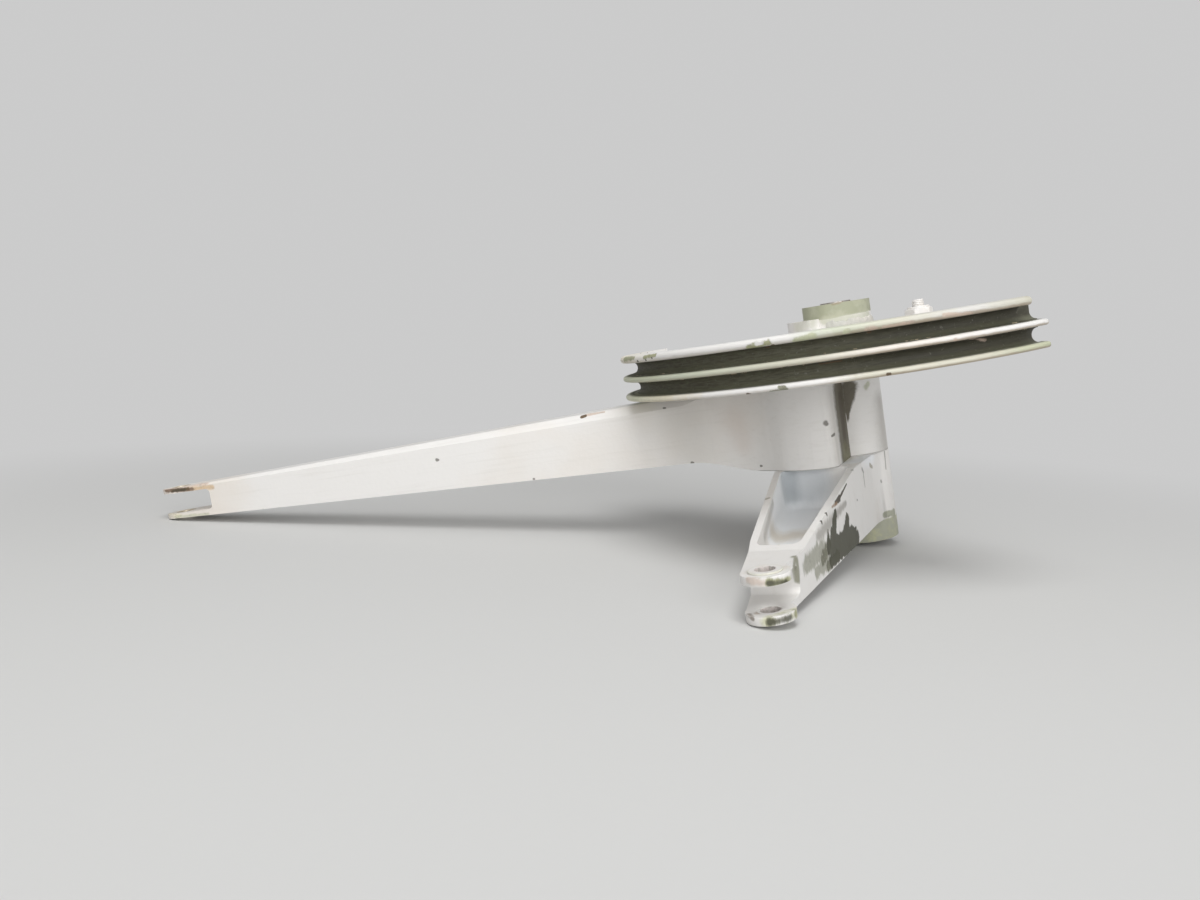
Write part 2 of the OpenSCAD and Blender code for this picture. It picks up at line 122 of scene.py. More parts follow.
def photoSpot(node, pixel):
    # where that ray meets a node, or the node's nearest point where it just misses, with the face's normal
    place = camera.location
    ray = photoRay(pixel)
    hit, spot, normal, _ = shapes[node].ray_cast(place, ray)
    if not hit:
        reaches = np.linspace(*cameraSet["search"])
        tries = [shapes[node].closest_point_on_mesh(place + ray * reach) for reach in reaches]
        _, spot, normal, _ = min(tries, key=lambda found: (found[1] - place).cross(ray).length)
    return spot / mm, normal


# floor: the plane that the fork tip, the clevis and the lower boss all touch
floorSet = {
    "forkEnd": 30.0, "clevisEnd": -120.0, "bossReach": 2.0,  # millimetres from the tip, in Y, past the hub
    "turns": 6,  # times that the plane is found again
    "half": 12.0,  # metres
    "seen": (0.66, 0.66, 0.65), "felt": (0.52, 0.52, 0.515),  # to the eye, and as bounced light
    "sky": (0.60, 0.60, 0.60),
    "fade": (170, 520),  # millimetres from the middle over which the floor turns into the sky
    "rough": 0.9, "gloss": 0.1, "grain": (0.4, 3.0, 0.6), "grainShare": 0.06,
}


def corners(node):
    flat = np.zeros(len(nodes[node].data.vertices) * 3)
    nodes[node].data.vertices.foreach_get("co", flat)
    return flat.reshape(-1, 3)


def levelUp():
    # straight up for a level camera that sees the horizon at its pixel row
    drop = math.atan((cameraSet["photoSize"][1] / 2 - cameraSet["horizon"]) / focalPixels)
    return (cameraTurn.col[1] * math.cos(drop) + cameraTurn.col[2] * math.sin(drop)).normalized()


def restingPlane():
    # three lowest spots, found again each time the plane through them turns
    arm, short, bushes = corners("long_arm"), corners("short_arm"), corners("clevis_bushes")
    forkEnd = arm[arm[:, 0] < (forkTip + floorSet["forkEnd"]) * mm]
    clevisEnd = np.vstack([short[short[:, 1] < floorSet["clevisEnd"] * mm], bushes])
    boss = short[np.hypot(short[:, 0], short[:, 1]) < (hubRadius + floorSet["bossReach"]) * mm]
    feet = [forkEnd, clevisEnd, boss]
    up = np.array(levelUp())
    for _ in range(floorSet["turns"]):
        spots = [foot[np.argmin(foot @ up)] for foot in feet]
        up = np.cross(spots[1] - spots[0], spots[2] - spots[0])
        up *= np.sign(up[2]) / np.linalg.norm(up)
    return Vector(spots[0]), Vector(up)


floorSpot, floorUp = restingPlane()
print("floor: up", tuple(round(v, 4) for v in floorUp))


def gridFaces(rings, around, closed, start=0):
    # quads between neighbouring rings, and round the profile too where it is closed
    i = np.arange(rings if closed else rings - 1)[:, None]
    j = np.arange(around)[None, :]
    this, following = i * around, (i + 1) % rings * around
    beside = (j + 1) % around
    quads = np.stack([this + j, this + beside, following + beside, following + j], -1)
    faces = (quads.reshape(-1, 4) + start).tolist()
    if not closed:
        ring = np.arange(around) + start
        faces += [ring[::-1].tolist(), (ring + (rings - 1) * around).tolist()]
    return faces


def gridMesh(name, grids, closed):
    # one mesh from grids of points: rings by spots by xyz, in millimetres
    faces = []
    start = 0
    for grid in grids:
        rings, around = grid.shape[:2]
        faces += gridFaces(rings, around, closed, start)
        start += rings * around
    points = np.concatenate([grid.reshape(-1, 3) for grid in grids]) * mm
    mesh = bpy.data.meshes.new(name)
    mesh.from_pydata(points.tolist(), [], faces)
    return mesh


def smoothMesh(mesh, sharp):
    # smooth faces, with the edges above an angle in degrees left sharp
    mesh.polygons.foreach_set("use_smooth", np.ones(len(mesh.polygons), dtype=bool))
    mesh.set_sharp_from_angle(angle=math.radians(sharp))


# long arm's top edges: bevels that run out before the flare, in millimetres between the two ends
bevelSet = {
    "ends": (-330.0, -40.0), "half": (7.72, 11.92), "top": (66.07, 74.70), "drop": (0.58, 4.2),
    "filled": (-41.0, -309.0), "cut": (-56.0, -72.0, -330.0),  # stations of the filler and of the wedge
    "over": 0.5, "under": 0.02,  # filler: past the hollow, and short of the faces
    "past": 1.5, "far": 4.5,  # wedge: past the edges, and out to its back
    "merge": 0.002, "sharp": 30,  # corners nearer than this become one; degrees
}


def armSizes(stations):
    # sizes that change evenly from the fork to the hub
    return [np.interp(stations, bevelSet["ends"], bevelSet[name]) for name in ("half", "top", "drop")]


def prism(stations, profile, side):
    # corners of a section, carried along the arm's stations
    corner = np.array(profile)
    along = np.broadcast_to(np.array(stations), corner.shape[:1] + (len(stations),))
    return np.stack([along, side * corner[:, 0], corner[:, 1]], -1).transpose(1, 0, 2)


def fillerGrid(side):
    # a bar that fills the hollow beside one top edge
    stations = bevelSet["filled"]
    half, top, drop = armSizes(stations)
    inner, outer = half - drop - bevelSet["over"], half - bevelSet["under"]
    low, high = top - drop - bevelSet["over"], top - bevelSet["under"]
    return prism(stations, [(inner, low), (outer, low), (outer, high), (inner, high)], side)


def wedgeGrid(side):
    # a wedge whose inner face is the bevel: from the drop inside the edge to the drop below it
    stations = bevelSet["cut"]
    half, top, drop = armSizes(stations)
    drop = drop * (np.arange(len(stations)) > 0)
    past = bevelSet["past"]
    return prism(stations, [(half - drop - past, top + past), (half + past, top - drop - past),
                            (half + bevelSet["far"], top + bevelSet["far"])], side)


def toolShape(name, grids):
    mesh = gridMesh(name, grids, False)
    cleanMesh(mesh)
    return addObject(name, mesh)


def cleanMesh(mesh):
    # merged corners and outward faces
    work = bmesh.new()
    work.from_mesh(mesh)
    bmesh.ops.remove_doubles(work, verts=work.verts, dist=bevelSet["merge"] * mm)
    bmesh.ops.recalc_face_normals(work, faces=work.faces)
    work.to_mesh(mesh)
    work.free()


def bevelArm():
    # the arm's own solid, filled beside its top edges and then cut by the wedges
    mesh = nodes["long_arm"].data.copy()
    cleanMesh(mesh)
    arm = addObject("longArm", mesh)
    tools = (("UNION", "filler", fillerGrid), ("DIFFERENCE", "wedge", wedgeGrid))
    for operation, name, grid in tools:
        tool = toolShape(name, [grid(-1), grid(1)])
        change = arm.modifiers.new(name, "BOOLEAN")
        change.operation = operation
        change.object = tool
        change.solver = "EXACT"
        bpy.context.view_layer.update()
        shaped = arm.evaluated_get(bpy.context.evaluated_depsgraph_get())
        mesh = bpy.data.meshes.new_from_object(shaped)
        arm.modifiers.clear()
        arm.data = mesh
        bpy.data.objects.remove(tool)
    cleanMesh(mesh)
    smoothMesh(mesh, bevelSet["sharp"])
    bpy.context.view_layer.update()
    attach(arm, "crank")
    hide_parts("long_arm")
    return arm


shapes["long_arm"] = bevelArm()
print("long arm:", len(shapes["long_arm"].data.polygons), "faces with its bevels")


class Wire:
    # one socket of a shader, so that shader maths reads as plain expressions
    def __init__(self, tree, socket=None):
        self.tree = tree
        self.socket = socket

    def node(self, kind, settings=None, inputs=None, out=0):
        # any node: its settings first, then the values or links of its sockets
        made = self.tree.nodes.new(kind)
        for key, value in (settings or {}).items():
            if key == "stops":
                ramp = made.color_ramp.elements
                while len(ramp) < len(value):
                    ramp.new(0.5)
                for element, (place, colour) in zip(ramp, value):
                    element.position = place
                    element.color = (*colour, 1)
            else:
                setattr(made, key, value)
        for key, value in (inputs or {}).items():
            if isinstance(value, Wire):
                self.tree.links.new(value.socket, made.inputs[key])
            else:
                made.inputs[key].default_value = value
        return Wire(self.tree, made.outputs[out])

    def maths(self, operation, *values):
        return self.node("ShaderNodeMath", {"operation": operation}, dict(enumerate(values)))

    def vector(self, operation, *values, out=0):
        return self.node("ShaderNodeVectorMath", {"operation": operation}, dict(enumerate(values)), out)

    def __add__(self, other):
        return self.maths("ADD", self, other)

    def __sub__(self, other):
        return self.maths("SUBTRACT", self, other)

    def __rsub__(self, other):
        return self.maths("SUBTRACT", other, self)

    def __mul__(self, other):
        return self.maths("MULTIPLY", self, other)

    def __truediv__(self, other):
        return self.maths("DIVIDE", self, other)

    def __or__(self, other):
        return self.maths("MAXIMUM", self, other)

    def __abs__(self):
        return self.maths("ABSOLUTE", self)

    def step(self, low, high):
        # 0 below low, 1 above high, smooth between; the other way round where low is the higher
        ends = {0: self, 1: low, 2: high}
        return self.node("ShaderNodeMapRange", {"interpolation_type": "SMOOTHSTEP"}, ends)

    def between(self, first, second):
        # the first colour where this mask is 0, the second where it is 1
        ends = [(*colour, 1) if isinstance(colour, tuple) else colour for colour in (first, second)]
        return self.node("ShaderNodeMix", {"data_type": "RGBA"}, {0: self, 6: ends[0], 7: ends[1]}, 2)

    def noise(self, scale, detail, rough):
        settings = {"Vector": self, "Scale": scale, "Detail": detail, "Roughness": rough}
        return self.node("ShaderNodeTexNoise", None, settings)

    def wander(self, scale, detail, rough):
        # noise about zero
        return self.noise(scale, detail, rough) - 0.5

    def patches(self, noise, edge, share=1.0):
        # noise cut to patches, and made weaker
        return self.noise(*noise).step(*edge) * share

    def parts(self):
        return [self.node("ShaderNodeSeparateXYZ", None, {0: self}, out) for out in range(3)]

    def scaled(self, sizes):
        return self.vector("MULTIPLY", self, sizes)

    def dot(self, other):
        return self.vector("DOT_PRODUCT", self, other, out=1)

    def length(self):
        return self.vector("LENGTH", self, out=1)


def photoColour(red, green, blue):
    # a colour as the photograph's own 0 to 255 values, made linear
    return tuple(v / 12.92 if v <= 0.04045 else ((v + 0.055) / 1.055) ** 2.4
                 for v in (red / 255, green / 255, blue / 255))


finishLevels = {
    "white": (233, 231, 228),
    "warmWhite": (228, 221, 212),
    # painted light: a pale bluish white that brightens the pocket and the ledge
    "paintedLightWhite": (243, 245, 247),
    "cream": (229, 221, 200),
    # pink tan of worn paint, also used for a painted reflection on the long arm's flare
    "pinkTanAndReflection": (205, 184, 168),
    "tan": (186, 172, 146),
    "bushTan": (200, 191, 187),
    "earTan": (214, 190, 160),
    "forkBrown": (136, 114, 98),
    "sage": (190, 193, 164),
    "lime": (202, 202, 160),
    "bossSage": (166, 168, 144),
    "bossGrey": (172, 173, 156),
    "bossLight": (190, 191, 170),
    # painted shadow: grey inside the pocket
    "paintedPocketShade": (172, 178, 182),
    # rubbed grey for worn edges, also used for painted shade on the hub and in the pocket
    "rubAndShadeGrey": (150, 146, 139),
    "sealant": (194, 193, 185),
    "flangeSage": (199, 203, 183),
    "flangeCream": (205, 202, 186),
    "flangeWhite": (214, 212, 207),
    "grooveDeep": (50, 47, 37),
    "chipGrey": (142, 142, 124),
    # tan of dirt and painted shade under the flange edges
    "edgeTanDirtShade": (168, 152, 130),
    "grooveLight": (118, 119, 98),
    "oliveMid": (118, 118, 103),
    "chipOlive": (164, 164, 132),
    "olive": (77, 77, 64),
    "grooveOlive": (96, 95, 78),
    "grooveDark": (66, 62, 50),
    "paleGreen": (156, 156, 142),
    "crease": (102, 96, 82),
    "brown": (104, 86, 66),
    "rust": (156, 130, 106),
    "grime": (76, 70, 58),
    # grey of bare metal for chips, dots and streaks, also used for painted shade and a painted reflection on
    # the long arm
    "bareGreyAndPaintedLight": (186, 181, 170),
    "metal": (156, 152, 144),
}
finishes = {name: photoColour(*levels) for name, levels in finishLevels.items()}

# what the paints share: a noise is its scale, detail and roughness, and patches add an edge and a share
paintSet = {
    "bump": 0.6, "roughNoise": (0.2, 3.0, 0.6), "roughShare": 0.14,
    "driftNoise": (3.0, 0.55), "driftEdge": (0.42, 0.68),  # its scale is the piece's own
    "streakNoise": (1.0, 3.0, 0.6), "streakEdge": (0.5, 0.75), "streakShare": 0.1, "streakHigh": 0.25,
    "dust": ((0.9, 2.0, 0.6), (0.66, 0.8)), "peelNoise": (0.55, 2.0, 0.5), "peelHigh": 0.4,
    "samples": 6, "turnEdge": (0.01, 0.08), "chipNoise": (0.28, 4.0, 0.6), "chipDeep": 0.6,
    "jitterNoise": (1.0, 4.0, 0.7), "jitterHigh": 2, "markRough": 0.16,
    "dark": ((0.5, 4.0, 0.7), (0.45, 0.8), 0.5), "pale": ((0.8, 3.0, 0.6), (0.55, 0.75), 0.35),
    "sideEdge": (0.6, 0.85), "hollowEdge": (0.6, 0.3),  # cosines between a face and a mark's own
}


def newMaterial(name):
    material = bpy.data.materials.new(name)
    material.use_nodes = True
    start = Wire(material.node_tree)
    place = start.node("ShaderNodeTexCoord", out="Object").scaled((1 / mm, 1 / mm, 1 / mm))
    return material, place


def finishSurface(material, colour, rough, height, depth):
    shader = material.node_tree.nodes["Principled BSDF"]
    look = {"Strength": paintSet["bump"], "Distance": depth * mm, "Height": height}
    bump = height.node("ShaderNodeBump", None, look)
    for wire, socket in ((colour, "Base Color"), (rough, "Roughness"), (bump, "Normal")):
        material.node_tree.links.new(wire.socket, shader.inputs[socket])


def worn(finish, lines, soft=0.1, ragged=0.5, relief=0.0, oneSide=False, share=1.0, faded=False,
         mottle=1.0, hollow=False):
    # a group of marks of one finish: lines from x, y to x, y on the photograph, with a radius at each end
    return {"finish": finish, "lines": lines, "soft": soft, "ragged": ragged, "relief": relief,
            "oneSide": oneSide, "share": share, "faded": faded, "mottle": mottle, "hollow": hollow}


def photoMarks(place, facing, node, group, jitter):
    # 1 within a line's radius, which runs from its first end to its last; ragged by the jitter;
    # a mark in a hollow leaves out faces that point away from its line, so the outside of the walls
    total = None
    for *ends, startRadius, endRadius in group["lines"]:
        a, face = photoSpot(node, ends[:2])
        run = photoSpot(node, ends[2:])[0] - a
        away = place.vector("SUBTRACT", place, tuple(a))
        along = away.dot(tuple(run / max(run.length_squared, 1e-6)))
        along = along.node("ShaderNodeClamp", None, {0: along})
        nearest = along.node("ShaderNodeVectorMath", {"operation": "SCALE"}, {0: tuple(run), "Scale": along})
        off = away.vector("SUBTRACT", away, nearest)
        gap = off.length()
        reach = gap / (along * (endRadius - startRadius) + startRadius) + jitter * group["ragged"]
        mark = reach.step(1 + group["soft"], 1 - group["soft"])
        if group["oneSide"]:
            mark = mark * facing.dot(tuple(face)).step(*paintSet["sideEdge"])
        if group["hollow"]:
            mark = mark * (facing.dot(off) / gap).step(*paintSet["hollowEdge"])
        total = mark if total is None else total | mark
    return total


def whitePaint(place, settings):
    # white paint with warm drifts, fine dust, faint brush streaks and a soft orange peel
    drift = place.noise(settings["driftScale"], *paintSet["driftNoise"]).step(*paintSet["driftEdge"])
    streak = place.scaled(settings["brush"]).noise(*paintSet["streakNoise"])
    streaked = streak.step(*paintSet["streakEdge"]) * paintSet["streakShare"]
    dust = place.patches(*paintSet["dust"], settings["dust"])
    colour = (drift * settings["drift"]).between(finishes[settings["base"]], finishes["warmWhite"])
    colour = streaked.between(colour, finishes["bareGreyAndPaintedLight"])
    colour = dust.between(colour, finishes["tan"])
    peel = place.noise(*paintSet["peelNoise"]) * paintSet["peelHigh"] + streak * paintSet["streakHigh"]
    return colour, peel


def edgeWear(place, settings):
    # 1 where the surface turns within the radius, so along edges, broken up by noise
    flat = place.node("ShaderNodeNewGeometry", out="Normal")
    radius = {"Radius": settings["edgeRadius"] * mm}
    rounded = place.node("ShaderNodeBevel", {"samples": paintSet["samples"]}, radius)
    turn = 1 - flat.dot(rounded)
    return turn.step(*paintSet["turnEdge"]) * place.patches(paintSet["chipNoise"], settings["edgeNoise"])


def wornPaint(name, node, settings, extra=None):
    # white paint, then the node's own extra tints, then its marks in the order given
    material, place = newMaterial(name)
    facing = place.node("ShaderNodeTexCoord", out="Normal")
    colour, height = whitePaint(place, settings)
    rough = place.noise(*paintSet["roughNoise"]) * paintSet["roughShare"] + settings["rough"]
    if extra:
        colour, rough, height = extra(place, facing, colour, rough, height)
    chips = edgeWear(place, settings)
    colour = chips.between(colour, finishes[settings["edgeFinish"]])
    height = height - chips * paintSet["chipDeep"]
    jitter = place.scaled(settings["grain"]).wander(*paintSet["jitterNoise"]) * paintSet["jitterHigh"]
    darker = place.patches(*paintSet["dark"])
    paler = place.patches(*paintSet["pale"])
    for group in settings["marks"]:
        mark = photoMarks(place, facing, node, group, jitter)
        shade = (darker * group["mottle"]).between(finishes[group["finish"]], finishes["grime"])
        shade = paler.between(shade, finishes["warmWhite"]) if group["faded"] else shade
        colour = (mark * group["share"]).between(colour, shade)
        rough = rough + mark * paintSet["markRough"]
        if group["relief"]:
            height = height - mark * group["relief"]
    finishSurface(material, colour, rough, height, settings["depth"])
    return material


# primer that shows on the bosses, and grime in the seam between the arms
primerSet = {
    "yellow": ((0.45, 0.7), 0.5), "rough": 0.2, "deep": 0.5,
    "upright": (0.7, 0.4), "seam": (0.42, 0.15),  # a face's rise, and millimetres from the seam
}


def primedBoss(place, facing, settings, primer, colour, rough, height):
    # primer with yellowed patches where its mask is 1, then grime in the seam, on upright faces only
    yellowed = place.patches(settings["yellowNoise"], *primerSet["yellow"])
    colour = primer.between(colour, yellowed.between(*(finishes[name] for name in settings["primer"])))
    upright = abs(facing.parts()[2]).step(*primerSet["upright"])
    seam = abs(place.parts()[2] - seamHeight).step(*primerSet["seam"]) * upright
    colour = (seam * settings["seamShare"]).between(colour, finishes["grime"])
    return colour, rough + primer * primerSet["rough"], height - primer * primerSet["deep"] - seam


# long arm: clean white with a cream fork, a dark worn crease beside the hub and a primer-green boss
longArmSet = {
    "base": "white", "drift": 0.5, "driftScale": 0.018, "dust": 0.08, "rough": 0.30, "depth": 0.25,
    "brush": (0.03, 0.4, 0.55), "grain": (0.45, 0.45, 0.45),
    "edgeRadius": 0.7, "edgeNoise": (0.63, 0.72), "edgeFinish": "bareGreyAndPaintedLight",
    "driftNoise": (0.09, 3.0, 0.6),
    "forkWarm": (52.0, 20.0),  # millimetres from the fork tip over which the white turns warm
    "forkDrift": 24, "forkShare": 0.9,
    "bossPaint": (97.3, 97.9), "bossTilt": 0.03,  # height where the primer starts, and its rise
    "bossDrift": 2.6, "yellowNoise": (0.16, 3.0, 0.6), "primer": ("bossSage", "bossLight"), "seamShare": 0.4,
    "marks": [
        # painted shade: soft grey where the lobe's front turns toward the crease
        worn("bareGreyAndPaintedLight", [(832, 398, 838, 455, 5.0, 3.0)], 0.9, 0.2, share=0.35, mottle=0.2),
        # painted reflections on the flare: a soft grey band and a soft pink-tan band
        worn("bareGreyAndPaintedLight", [(686, 428, 694, 452, 9.0, 9.0)], 0.9, 0.2, share=0.3, mottle=0.2),
        worn("pinkTanAndReflection", [(735, 420, 743, 444, 5.0, 4.0)], 0.9, 0.4, share=0.22, mottle=0.2),
        worn("crease", [(839.5, 396, 846, 452, 10.0, 9.0)], 0.3, 0.2, oneSide=True),
        worn("crease", [(849, 387, 847.5, 412, 3.6, 1.0), (847.5, 412, 849, 452, 0.8, 0.3)],
             0.35, 0.4),
        worn("grime", [(840.5, 400, 845.5, 445, 4.0, 3.0)], 0.6, 0.6, oneSide=True, share=0.6),
        worn("chipOlive", [(846, 453, 847.5, 459, 5.0, 6.0)], soft=0.5, oneSide=True, share=0.35),
        worn("sage", [(866, 387, 868, 384, 1.2, 1.0)], 0.6, 0.8, share=0.7),
        # painted shade: soft grey down the hub's right side
        worn("rubAndShadeGrey", [(880, 402, 885, 444, 4.0, 4.5)], 0.9, 0.3, share=0.5, mottle=0.2),
        worn("bossLight", [(824, 321, 846, 318.5, 1.8, 1.8), (846, 318.5, 868, 314, 1.8, 1.8)],
             0.5, 0.5, share=0.7, mottle=0.2),
        worn("pinkTanAndReflection", [(165, 489.5, 205, 483.5, 1.8, 1.6)], 0.6, 0.7, share=0.8),
        worn("earTan", [(189, 489.5, 212, 487, 1.2, 1.0)], 0.6, 0.8),
        worn("forkBrown", [(166, 490.8, 192, 489, 1.0, 0.9)], 0.6, 0.9),
        worn("brown", [(172, 490.8, 188, 489, 0.9, 0.8)], 0.5, 0.8),
        worn("grime", [(173, 490.7, 185, 489.4, 0.6, 0.6)], 0.6, 0.8, share=0.8),
        worn("cream", [(169, 514, 178, 515, 1.6, 1.4)], 0.7, 0.6),
        worn("sage", [(176, 517, 208, 514, 0.7, 0.6)], 0.7, 0.8, share=0.6),
        worn("pinkTanAndReflection", [(587, 415, 604, 412, 0.8, 0.4)], 0.5, 0.8, share=0.8),
        worn("brown", [(582, 417, 585, 416, 0.9, 0.8)], soft=0.2, relief=1.0),
        worn("grime", [(437, 460, 438, 460, 0.8, 0.6), (533.6, 479, 534, 479, 0.5, 0.5),
                       (825.5, 423, 826.5, 424, 1.0, 0.9), (832, 436, 834.5, 434, 0.5, 0.6),
                       (692, 464, 693, 464, 0.7, 0.6), (726, 466, 727, 466, 0.6, 0.5),
                       (761, 466, 762, 466, 0.5, 0.4), (664, 408, 665, 408, 0.6, 0.5)],
             soft=0.4, relief=1.0, share=0.75),
        worn("rust", [(832, 301, 840, 300, 0.8, 0.6)], soft=0.6, share=0.5),
    ],
}


def longArmTints(place, facing, colour, rough, height):
    across, _, up = place.parts()
    drift = place.wander(*longArmSet["driftNoise"])
    warm = (forkTip + reach for reach in longArmSet["forkWarm"])
    fork = (across + drift * longArmSet["forkDrift"]).step(*warm)
    colour = (fork * longArmSet["forkShare"]).between(colour, finishes["warmWhite"])
    level = up - across * longArmSet["bossTilt"] + drift * longArmSet["bossDrift"]
    primer = level.step(*longArmSet["bossPaint"])
    return primedBoss(place, facing, longArmSet, primer, colour, rough, height)


# short arm: white, with the side scraped to olive primer and green ear edges
shortArmSet = {
    "base": "white", "drift": 0.3, "driftScale": 0.03, "dust": 0.03, "rough": 0.32, "depth": 0.25,
    "brush": (0.3, 0.3, 0.1), "grain": (0.42, 0.42, 0.16),
    "edgeRadius": 0.7, "edgeNoise": (0.61, 0.70), "edgeFinish": "sage",
    "driftNoise": (0.12, 3.0, 0.6),
    "bossPaint": (9.4, 8.6), "bossEdge": (2.6, 1.2),  # top of the primer, and its end from the hub
    "bossDrift": 4, "yellowNoise": (0.25, 3.0, 0.6), "primer": ("bossGrey", "lime"), "seamShare": 0.25,
    "marks": [
        # painted light: pale bluish white over the pocket's floor and walls
        worn("paintedLightWhite", [(800, 486, 778, 540, 13.0, 9.0)], 0.3, 0.0, mottle=0.0, hollow=True),
        # painted shadow: grey where the lobe shades the pocket's back wall and the floor below it
        worn("paintedPocketShade", [(792, 478, 812, 482, 8.0, 8.0), (794, 488, 808, 490, 6.0, 6.0)],
             0.6, 0.2, share=0.55, mottle=0.1, hollow=True),
        worn("paintedPocketShade", [(788, 477, 791, 496, 3.5, 3.5)],
             0.8, 0.2, share=0.75, mottle=0.2, hollow=True),
        # painted shade: grey low on the pocket's left wall
        worn("rubAndShadeGrey", [(773, 503, 764.5, 537, 1.6, 1.8)],
             0.8, 0.3, share=0.5, mottle=0.2, hollow=True),
        worn("tan", [(776, 537, 796, 535, 6.0, 6.0)], 0.9, 0.4, share=0.55, mottle=0.3, hollow=True),
        # painted light: pale bluish white that brightens the shaded ledge beside the hub
        worn("paintedLightWhite", [(853, 462, 868, 456, 4.0, 4.0)], 0.6, 0.0, mottle=0.0),
        worn("rubAndShadeGrey", [(818, 537, 832, 520, 1.8, 2.2), (832, 520, 846, 503, 2.2, 1.0)],
             0.7, 1.0, oneSide=True, share=0.7, mottle=0.5),
        worn("paleGreen", [(806, 565, 824, 550, 3.0, 3.8), (817, 572, 828, 562, 2.4, 3.0)],
             0.35, 1.1, relief=0.8, oneSide=True, share=0.85),
        worn("oliveMid", [(823, 559, 829, 545, 2.2, 2.6), (828, 566, 838, 556, 1.6, 2.2)],
             0.3, 1.1, relief=1.0, oneSide=True, faded=True),
        worn("olive", [(832, 560, 857, 538, 2.6, 3.2), (831, 547, 853, 534, 3.8, 3.2),
                       (833, 544, 835.2, 514, 4.2, 2.0), (846, 540, 847.4, 520, 4.4, 2.6),
                       (853, 538, 856, 528, 2.6, 0.8), (829, 548, 828, 530, 2.6, 0.5)],
             0.12, 0.8, relief=1.2, oneSide=True),
        worn("grime", [(846.5, 484, 840, 497, 0.35, 0.7), (839.5, 498, 835.5, 503, 1.3, 1.0),
                       (826, 513, 827, 515, 0.6, 0.5), (821, 521, 822, 523, 0.5, 0.5)],
             0.25, 0.7, relief=0.8),
        worn("rust", [(837, 503, 832, 507, 0.8, 0.5)], 0.6, 0.9, share=0.8),
        worn("grime", [(863, 471, 865, 487, 0.5, 0.35), (862, 469, 863.5, 472, 0.8, 0.6),
                       (884.5, 452, 886, 469, 0.5, 0.3), (881, 481, 881.5, 482, 0.6, 0.5),
                       (852, 470, 853, 470, 0.6, 0.5), (857, 500, 857.5, 500, 0.4, 0.4)],
             0.5, 0.6, relief=0.8, share=0.55),
        worn("bareGreyAndPaintedLight", [(870, 465, 872, 467, 1.0, 0.7), (766, 499, 769, 498, 0.9, 0.7)], 0.4, 0.6),
        worn("chipGrey", [(795, 557, 794, 567, 1.4, 1.1)], 0.6, 0.9, share=0.9, faded=True),
        # a darker grey-brown band down the wall beside the upper ear
        worn("chipGrey", [(797, 561, 797.5, 580, 1.4, 1.2)], 0.5, 0.7, share=0.9, mottle=0.6),
        worn("bossGrey", [(884, 515, 894, 512.5, 1.2, 1.6)], 0.3, 0.9),
        worn("pinkTanAndReflection", [(748, 580, 764, 583, 1.2, 1.2)], 0.7, 0.8, share=0.65),
        worn("tan", [(752, 572, 783, 568, 2.2, 2.4)], 0.9, 0.9, share=0.3, faded=True),
        worn("lime", [(766, 622, 797, 613, 1.7, 1.7), (784, 582, 790, 579, 1.2, 1.0)],
             0.6, 0.8, share=0.7),
        worn("chipOlive", [(768, 583, 787, 581, 1.3, 1.4), (770, 622, 796, 613.5, 1.3, 1.1)],
             0.5, 1.2, relief=0.5, faded=True),
        worn("olive", [(768, 583.5, 786, 581.5, 0.8, 0.7), (770, 622.5, 790, 617.5, 1.2, 0.9)],
             0.6, 0.9, relief=0.6, share=0.9),
        worn("rust", [(758, 613, 772, 613, 1.3, 1.0)], 0.7, 0.5, share=0.6),
        worn("brown", [(749, 614, 753, 619, 0.8, 0.6)], 0.6, 0.8, share=0.7),
    ],
}


def shortArmTints(place, facing, colour, rough, height):
    drift = place.wander(*shortArmSet["driftNoise"])
    level = place.parts()[2] + drift * shortArmSet["bossDrift"]
    out = place.scaled((1, 1, 0)).length() - hubRadius
    primer = level.step(*shortArmSet["bossPaint"]) * out.step(*shortArmSet["bossEdge"])
    return primedBoss(place, facing, shortArmSet, primer, colour, rough, height)


